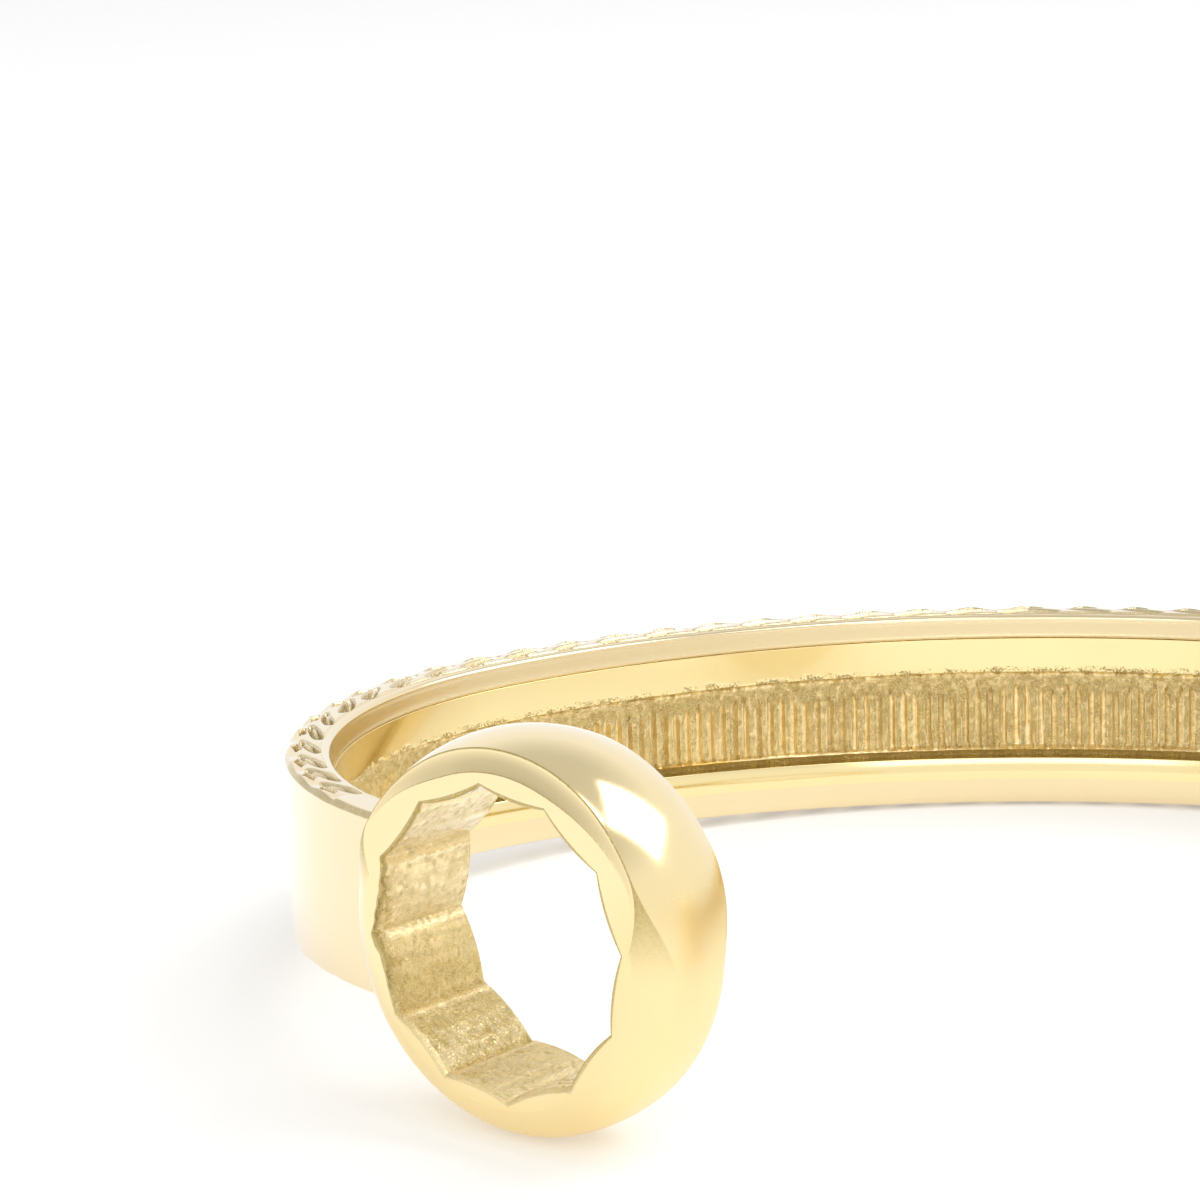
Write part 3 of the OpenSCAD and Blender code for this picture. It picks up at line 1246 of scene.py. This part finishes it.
def tube(name: str, columns: int, rows: int) -> tuple[bpy.types.Object, Array, Array]:
    """Makes an open tube to be shaped row by row.

    Args:
        name: Name of the object.
        columns: Points round the tube.
        rows: Points along it.

    Returns:
        The object, and the column and row of each of its vertices.
    """
    bpy.ops.object.select_all(action="DESELECT")
    bpy.ops.mesh.primitive_cylinder_add(
        vertices=columns, radius=10.0, depth=float(rows - 1), end_fill_type="NOTHING")
    obj = Bench.name(bpy.context.object, name)
    Bench.select_edges(obj, lambda one, other: np.abs(one[:, 2] - other[:, 2]) > 0.5)
    Bench.edit(obj, (False, True, False))
    bpy.ops.mesh.subdivide(number_cuts=rows - 2)
    Bench.close()
    points = Bench.points(obj)
    turn = np.degrees(np.arctan2(points[:, 1], points[:, 0]))
    column = np.rint(turn / 360 * columns).astype(int) % columns
    row = np.rint(points[:, 2] + (rows - 1) / 2).astype(int)
    return obj, column, row


def close_tube(obj: bpy.types.Object) -> None:
    """Joins the first and last rows of a tube that meet."""
    Bench.edit(obj)
    bpy.ops.mesh.select_all(action="SELECT")
    bpy.ops.mesh.remove_doubles(threshold=2e-7)
    Bench.close()


@dataclass
class HeadRing:
    """The domed ring of a head: creased above, blended smooth below."""

    side: Side
    shape: HeadShape
    columns: int = 360
    dome_points: int = 33
    corner_points: int = 11
    # painted shade along the crease
    crease_shade: float = 0.9
    bore_out: float = 1.0

    FACE_SHARES: ClassVar[Shares] = (0.05, 0.15, 0.3, 0.45, 0.6, 0.75, 0.88, 0.96, 0.98, 1.0)
    # painted shade on the bevel, darker towards its foot, with a dark line at the foot
    FACE_SHADES: ClassVar[Shares] = (0, 0, 0, 0.02, 0.06, 0.12, 0.16, 0.2, 0.9, 0.9)
    FLAT_SHARES: ClassVar[Shares] = (0.1, 1.0)

    def profile(self, turn: Array) -> tuple[Array, Array, Array]:
        """Outlines of the ring at each turn round the head.

        Args:
            turn: Angles round the head in degrees.

        Returns:
            The radius, the distance out along the axis and how far each point is darkened with painted
            shade and dulled, a row for each turn.
        """
        shape = self.shape
        corner, middle = shape.corner(turn)[:, None], shape.middle(turn)[:, None]
        sharp, bevel = shape.creased(turn)[:, None], shape.bevelled(turn)[:, None]
        lip = shape.edge_out(turn)[:, None]
        tangent = np.arctan2(lip - corner, middle - shape.start)
        swing = np.linspace(-1, 1, self.dome_points)[None, :] * tangent
        dome_r = shape.start + CUFF.dome_radius * np.cos(swing)
        dome_z = CUFF.dome_radius * np.sin(swing)
        last = np.arccos(np.clip((shape.seam - middle) / corner, 0, 1))
        bend = tangent + (last - tangent) * np.linspace(0, 1, self.corner_points + 1)[None, 1:]
        edge = np.maximum(middle, shape.seam)
        foot = np.maximum(edge - 0.05 - shape.band * bevel, shape.seam)
        share = np.array(self.FACE_SHARES)[None, :]
        face_r = edge + (foot - edge) * share
        face_z = shape.face(turn[:, None], face_r) - shape.drop * bevel * (1 - share ** shape.rise)
        flat_r = foot + (shape.seam - foot) * np.array(self.FLAT_SHARES)[None, :]
        bore = np.full_like(edge, shape.seam)
        parts = (
            (middle + corner * np.cos(bend), lip - corner + corner * np.sin(bend),
             np.repeat(self.crease_shade * sharp, self.corner_points, axis=1)),
            (face_r, face_z, np.array(self.FACE_SHADES)[None, :] * bevel),
            (flat_r, shape.face(turn[:, None], flat_r), np.zeros_like(flat_r)),
            (bore, np.full_like(edge, self.bore_out), np.zeros_like(edge)),
        )
        radius, out, mark = (np.concatenate(part, axis=1) for part in zip(*parts))
        radius = np.concatenate([radius[:, ::-1], dome_r, radius], axis=1)
        out = np.concatenate([-out[:, ::-1], dome_z, out], axis=1)
        mark = np.concatenate([mark[:, ::-1], np.zeros_like(dome_r), mark], axis=1)
        return tuple(np.concatenate([a, a[:, :1]], axis=1) for a in (radius, out, mark))

    def build(self, finisher: Finisher) -> None:
        """Models and dresses the ring."""
        turns = np.arange(self.columns) * 360 / self.columns
        radius, out, mark = self.profile(turns)
        obj, column, row = tube(self.side.word + "_head_dome", self.columns, radius.shape[1])
        points = self.shape.at_head(turns[column], radius[column, row], out[column, row], self.side)
        Bench.place(obj, points)
        Bench.note(obj, "sunk", mark[column, row])
        Bench.note(obj, "satin", self.shape.softened(turns[column]))
        close_tube(obj)
        Bench.finish(obj, 80.0)
        finisher.dress(obj, "head_gold", self.side.word + "_head_ring")


@dataclass
class SocketSleeve:
    """The twelve-point lining of a head, with rough cast walls.

    A region of turns is its middle, the angle to each side in which it is whole, and the angle
    at which it has faded out.
    """

    side: Side
    shape: HeadShape
    points: int = 12
    per_wall: int = 26
    wall_rows: int = 60
    bulge: float = 0.03
    lip_width: float = 0.08
    lip_drop: float = 0.1
    back_lip: float = 0.06
    groove: float = 0.08
    groove_at: float = 0.1
    groove_width: float = 0.035
    lump: float = 0.15
    lump_reach: Turns = (1.1, 0.15)
    smooth_lip: Region = (262, 30, 70)
    crumbled_lip: Region = (183, 18, 34)
    shaded_walls: Region = (226, 12, 62)

    CAST: ClassVar[float] = 2.0

    def star(self, column: Array) -> tuple[Array, Array]:
        """Places of the star's outline, whose walls bulge inwards between its points.

        Args:
            column: Whole numbers round the star, per_wall to each of its walls.

        Returns:
            The turn in degrees and the radius.
        """
        step = 2 * math.pi / self.points
        wall, part = np.divmod(column, self.per_wall)
        part = part / self.per_wall
        bulge = 1 - self.bulge * 4 * part * (1 - part)
        x = (np.cos(wall * step) * (1 - part) + np.cos((wall + 1) * step) * part) * bulge
        y = (np.sin(wall * step) * (1 - part) + np.sin((wall + 1) * step) * part) * bulge
        return np.degrees(np.arctan2(y, x)) + CUFF.points_turn, np.hypot(x, y) * CUFF.points_radius

    def outlines(self, turn: Array, star: Array, lip: Array) -> tuple[Array, Array, Array]:
        """Rows of the sleeve, from the seam in front over the lip and the walls and back to it.

        Args:
            turn: Turn of each column.
            star: Radius of the star's outline at each column.
            lip: Radius of the lip in front.

        Returns:
            The radius, the distance out and how sunken each point is, a row for each row of the
            tube; on the face and the lip this is painted shade, a dark line at the lip's edge and a darker
            strip over the lip. The walls have the value CAST in place of how sunken they are.
        """
        shape = self.shape
        smooth = near_turn(turn, *self.smooth_lip)
        drop = self.lip_drop + 0.06 * smooth
        rows: list[tuple[Array, Array, Array]] = []
        for share in (0.0, 0.3, 0.6, 0.85, 0.89, 1.0):
            radius = shape.seam + (lip - shape.seam) * share
            # painted shade: a dark line at the outer edge of the lip
            rows.append((radius, shape.face(turn, radius), 0.9 * (share > 0.88) * (1 - smooth)))
        rim = rows[-1][1]
        for share in (0.12, 0.5, 0.88, 1.0):
            # painted shade over the lip strip, weaker within the smooth part of the lip
            rows.append((lip + (star - lip) * share, rim - drop * share ** 1.6, 1.0 - 0.75 * smooth))
        top, bottom = rim - drop, self.back_lip - shape.half
        cast = np.full_like(star, self.CAST)
        rows += [(star, top + (bottom - top) * k / self.wall_rows, cast) for k in range(1, self.wall_rows)]
        for share in (0.0, 0.5, 1.0):
            radius = star + self.back_lip * share
            out = -shape.face(turn, radius) + self.back_lip * (1 - share)
            rows.append((radius, out, np.full_like(star, 0.7)))
        for share in (0.1, 0.4, 0.7, 1.0):
            radius = star + self.back_lip + (shape.seam - star - self.back_lip) * share
            rows.append((radius, -shape.face(turn, radius), np.zeros_like(star)))
        rows.append(rows[0])
        return tuple(np.array(part) for part in zip(*rows))

    def build(self, finisher: Finisher) -> None:
        """Models and dresses the sleeve."""
        grain = Grain(41 + self.side.value)
        columns = self.points * self.per_wall
        turn, star = self.star(np.arange(columns))
        around = np.mod(turn, 360)
        crumbled = near_turn(turn, *self.crumbled_lip)
        lip = star + self.lip_width + 0.16 * near_turn(turn, *self.smooth_lip)
        lip = lip + 0.08 * crumbled * (1 + grain.at(around / 3.1, around * 0))
        rows_r, rows_z, ground = self.outlines(turn, star, lip)
        obj, column, row = tube(self.side.word + "_socket_cast", columns, len(rows_r))
        radius, out, mark = rows_r[row, column], rows_z[row, column], ground[row, column]
        rough = np.clip(mark - 1, 0, 1)
        run = column * (2 * math.pi * CUFF.points_radius / columns)
        cast = grain.layered(run / 0.24, out / 0.24, 3)
        streak = grain.layered(run / 0.2, out / 1.9, 2)
        pits = ramp(-grain.layered(run / 0.22 + 9, out / 0.22, 2), 0.35, 0.9)
        part = np.mod(column, self.per_wall) / self.per_wall
        groove = np.exp(-((part - self.groove_at) / self.groove_width) ** 2)
        far, close = self.lump_reach
        lumps = crumbled[column] * ramp(out, self.shape.half - far, self.shape.half - close)
        lumps = lumps * (radius < lip[column] - 0.01) * grain.layered(run / 0.3 + 50, out / 0.3, 2)
        relief = 0.02 * cast + 0.02 * streak + 0.035 * pits - self.groove * groove
        radius = radius + rough * relief + self.lump * lumps
        Bench.place(obj, self.shape.at_head(turn[column], radius, out, self.side))
        walls = 0.2 + 0.45 * near_turn(turn[column], *self.shaded_walls)
        walls = walls + 0.3 * pits + 0.1 * cast + 0.12 * streak
        walls = np.clip(walls * (1 - 0.8 * groove) + 0.6 * np.abs(lumps), 0, 1)
        Bench.note(obj, "sunk", np.where(rough > 0, walls, mark))
        Bench.note(obj, "satin", np.where(mark > 0.1, 0, self.shape.softened(turn[column])))
        close_tube(obj)
        Bench.finish(obj, 35.0)
        finisher.dress(obj, "cast_gold", self.side.word + "_socket")


# ---------------------------------------------------------------- studio


def grey(level: float) -> Colour:
    """A neutral colour of a level."""
    return (level, level, level, 1)


def way_to(bearing: float, elevation: float) -> Vector:
    """Direction of a bearing and an elevation in degrees."""
    turn, rise = math.radians(bearing), math.radians(elevation)
    return Vector((math.sin(turn) * math.cos(rise), math.cos(turn) * math.cos(rise), math.sin(rise)))


@dataclass(frozen=True)
class Softbox:
    """A rectangular studio light, placed by where it stands over the cuff.

    Its bearing and elevation are in degrees, the bearing from the back and clockwise, and its
    distance and size in metres.
    """

    name: str
    bearing: float
    elevation: float
    distance: float
    width: float
    height: float
    radiance: float

    def build(self) -> None:
        """Adds the light, aimed at the middle of the cuff."""
        data = bpy.data.lights.new(self.name, "AREA")
        data.shape = "RECTANGLE"
        data.size = self.width
        data.size_y = self.height
        data.energy = self.radiance * math.pi * self.width * self.height
        obj = bpy.data.objects.new(self.name, data)
        bpy.context.scene.collection.objects.link(obj)
        way = way_to(self.bearing, self.elevation)
        obj.location = way * self.distance
        obj.rotation_euler = way.to_track_quat("Z", "Y").to_euler()


SOFTBOXES = (
    Softbox("key_softbox", bearing=70, elevation=48, distance=0.6, width=0.34, height=0.34, radiance=2.9),
    Softbox("top_softbox", bearing=118, elevation=73, distance=0.6, width=0.2, height=0.2, radiance=2.6),
    Softbox("front_softbox", bearing=178, elevation=42, distance=0.9, width=0.7, height=0.4, radiance=1.3),
)


@dataclass
class Studio:
    """Pale floor, soft light and the camera, in millimetres and degrees.

    The flag is a soft dark patch of the room. Its edge and its core are given as cosines of the
    angle from its middle.
    """

    camera_place: tuple[float, float, float] = (-2.61, -152.578, 53.604)
    camera_pitch: float = 13.381
    camera_yaw: float = -6.351
    camera_roll: float = -1.965
    lens: float = 104.577
    floor_size: float = 30000.0
    floor_tones: tuple[float, float] = (0.75, 0.77)
    floor_glow: float = 0.32
    flag_bearing: float = -108.0
    flag_elevation: float = 34.0
    flag_edge: float = 0.80
    flag_core: float = 0.95
    flag_depth: float = 0.3

    ROOM_TONES: ClassVar[Section] = [(0.0, 1.0), (1.0, 0.66), (0.5, 0.98), (0.78, 0.68)]

    def floor(self) -> None:
        """Lays the floor."""
        bpy.ops.object.select_all(action="DESELECT")
        bpy.ops.mesh.primitive_plane_add(size=self.floor_size * MM, location=(0, 0, 0))
        obj = Bench.name(bpy.context.object, "floor")
        made = bpy.data.materials.new("floor_paper")
        made.use_nodes = True
        board = Board(made.node_tree)
        tone = board.noise(board.place(), 30.0, 3.0)
        shader = board.node("BsdfPrincipled", {}, {
            "Base Color": board.mix(tone, *(grey(level) for level in self.floor_tones)),
            "Roughness": 0.9,
            "Specular IOR Level": 0.1,
            "Emission Color": grey(1.0),
            "Emission Strength": self.floor_glow})
        board.node("OutputMaterial", {}, {"Surface": board.wire(shader)})
        obj.data.materials.append(made)

    def flag(self, board: Board, way: Wire) -> Wire:
        """Makes a soft dark patch of the room.

        Args:
            board: The world's board.
            way: Direction that is looked up.

        Returns:
            The strength of the patch, from 0 to 1.
        """
        middle = way_to(self.flag_bearing, self.flag_elevation)
        dot = board.node("VectorMath", {"operation": "DOT_PRODUCT"}, {0: way, 1: middle})
        near = board.wire(dot, "Value")
        return ((near - self.flag_edge) * (1 / (self.flag_core - self.flag_edge))).clamped()

    def light(self) -> None:
        """Sets the room's light, paler below than above, and the softboxes."""
        world = bpy.data.worlds.new("studio")
        bpy.context.scene.world = world
        world.use_nodes = True
        board = Board(world.node_tree)
        way = board.wire(board.node("TexCoord"), "Generated")
        split = board.node("SeparateXYZ", {}, {"Vector": way})
        room = board.node("ValToRGB", {}, {"Fac": board.wire(split, "Z")})
        stops = room.color_ramp.elements
        for stop, (height, tone) in zip(stops, self.ROOM_TONES):
            stop.position, stop.color = height, grey(tone)
        for height, tone in self.ROOM_TONES[2:]:
            stops.new(height).color = grey(tone)
        shade = 1.0 - self.flag_depth * self.flag(board, way)
        sky = board.node("Background", {}, {"Color": board.wire(room), "Strength": shade})
        board.node("OutputWorld", {}, {"Surface": board.wire(sky)})
        for box in SOFTBOXES:
            box.build()

    def camera(self) -> None:
        """Stands the camera and aims it."""
        data = bpy.data.cameras.new("camera")
        data.sensor_width = 36.0
        data.lens = self.lens
        data.clip_start, data.clip_end = 0.005, 20.0
        obj = bpy.data.objects.new("camera", data)
        bpy.context.scene.collection.objects.link(obj)
        turn = Matrix.Rotation(math.radians(-self.camera_yaw), 3, "Z")
        tilt = Matrix.Rotation(math.radians(90 - self.camera_pitch), 3, "X")
        roll = Matrix.Rotation(math.radians(self.camera_roll), 3, "Z")
        obj.matrix_world = (turn @ tilt @ roll).to_4x4()
        obj.location = Vector(self.camera_place) * MM
        bpy.context.scene.camera = obj

    def build(self) -> None:
        """Sets up the whole studio."""
        self.floor()
        self.light()
        self.camera()
        bpy.context.scene.view_settings.view_transform = "Standard"


def main() -> None:
    """Builds the cuff piece by piece, then the studio."""
    logging.basicConfig(level=logging.INFO, format="%(name)s: %(message)s")
    bpy.ops.object.select_all(action="DESELECT")
    finisher = Finisher()
    shape = HeadShape()
    OuterBand().build(finisher)
    for edge in Edge:
        Rim(edge).build(finisher)
        InnerRail(edge).build(finisher)
    RibLiner().build(finisher)
    for side in Side:
        Neck(side).build(finisher)
        HeadRing(side, shape).build(finisher)
        SocketSleeve(side, shape).build(finisher)
    Studio().build()


if __name__ == "__main__":
    main()
